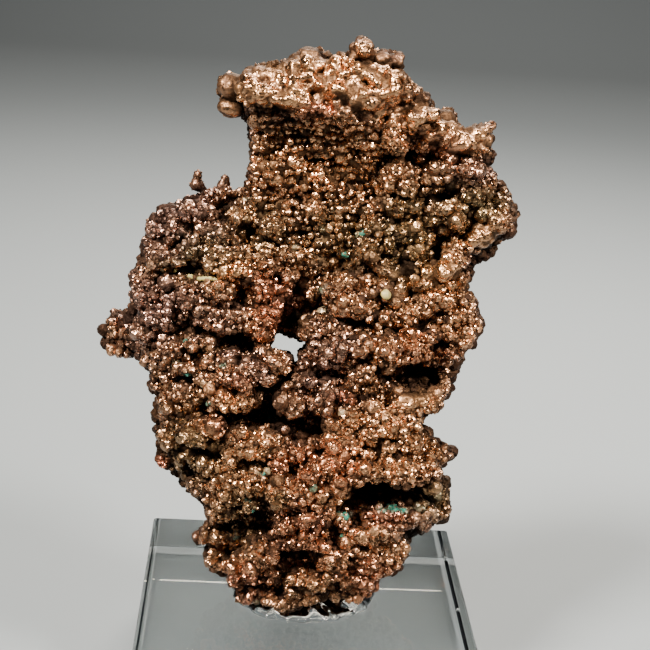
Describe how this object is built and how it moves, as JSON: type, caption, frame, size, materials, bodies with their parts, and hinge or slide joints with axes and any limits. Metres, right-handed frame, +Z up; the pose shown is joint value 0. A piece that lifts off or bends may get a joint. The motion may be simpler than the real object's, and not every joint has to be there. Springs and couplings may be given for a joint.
{
  "type": "native copper nugget on an acrylic display block",
  "caption": "Upright sheet-like nugget of native copper nodules, standing in clear gel on a square clear acrylic display block.",
  "frame": {"origin": "middle of the acrylic block's underside", "axes": "+Z up, -Y towards the side that the specimen is shown from, +X to the right of it"},
  "size_m": [0.0482, 0.04, 0.0801],
  "materials": {
    "native_copper": "rough grown metal, brown tarnish with bright golden grains and green verdigris in the pits",
    "clear_gel": "clear, glossy and wavy, set as it was squeezed",
    "clear_acrylic": "clear cast acrylic with polished faces"
  },
  "bodies": {
    "root": {"copper_nugget": "native_copper", "mounting_gel": "clear_gel", "acrylic_block": "clear_acrylic"}
  },
  "joints": []
}
